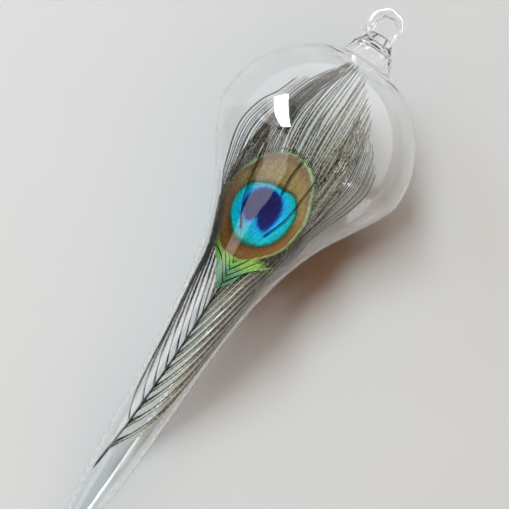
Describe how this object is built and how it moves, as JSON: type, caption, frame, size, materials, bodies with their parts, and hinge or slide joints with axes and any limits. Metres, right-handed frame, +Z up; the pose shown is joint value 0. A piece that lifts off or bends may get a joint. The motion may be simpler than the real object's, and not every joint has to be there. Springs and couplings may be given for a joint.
{
  "type": "glass ornament",
  "caption": "Hanging ornament of clear blown glass: a bulb drawn out into a long closed tail, with a twisted glass loop and a loose peacock feather sealed inside.",
  "frame": {"origin": "inside top of the hanging loop's hole, on the glass axis: the point the ornament hangs from", "axes": "+Z up along the glass axis from the tail tip to the loop, the eye of the feather faces -Y, the loop lies in the XZ plane"},
  "size_m": [0.06, 0.06, 0.1877],
  "materials": {
    "clear_glass": "clear, fire-polished blown glass",
    "feather_shaft": "dark horn, satin",
    "eye_web": "iridescent barbs locked into a web: dark blue heart, turquoise ring, bronze field, pale green rim",
    "loose_barb": "dark olive-brown barb with fine barbules"
  },
  "bodies": {
    "glass": {"glass_envelope": "clear_glass", "neck_gather": "clear_glass", "hanger_loop": "clear_glass"},
    "feather": {"crown_barb_01": "loose_barb", "crown_barb_02": "loose_barb", "crown_barb_03": "loose_barb", "crown_barb_04": "loose_barb", "crown_barb_05": "loose_barb", "crown_barb_06": "loose_barb", "crown_barb_07": "loose_barb", "crown_barb_08": "loose_barb", "crown_barb_09": "loose_barb", "crown_barb_10": "loose_barb", "crown_barb_11": "loose_barb", "crown_barb_12": "loose_barb", "crown_barb_13": "loose_barb", "eye_vane": "eye_web", "feather_shaft": "feather_shaft", "left_barb_01": "loose_barb", "left_barb_02": "loose_barb", "left_barb_03": "loose_barb", "left_barb_04": "loose_barb", "left_barb_05": "loose_barb", "left_barb_06": "loose_barb", "left_barb_07": "loose_barb", "left_barb_08": "loose_barb", "left_barb_09": "loose_barb", "left_barb_10": "loose_barb", "left_barb_11": "loose_barb", "left_barb_12": "loose_barb", "left_barb_13": "loose_barb", "right_barb_01": "loose_barb", "right_barb_02": "loose_barb", "right_barb_03": "loose_barb", "right_barb_04": "loose_barb", "right_barb_05": "loose_barb", "right_barb_06": "loose_barb", "right_barb_07": "loose_barb", "right_barb_08": "loose_barb", "right_barb_09": "loose_barb", "right_barb_10": "loose_barb", "right_barb_11": "loose_barb", "right_barb_12": "loose_barb", "right_barb_13": "loose_barb", "right_barb_14": "loose_barb", "right_barb_15": "loose_barb"}
  },
  "joints": [
    {"name": "feather_turn", "type": "hinge", "parent": "glass", "child": "feather", "pos_m": [0, 0, -0.06], "axis": [0, 0, 1], "continuous": true}
  ]
}
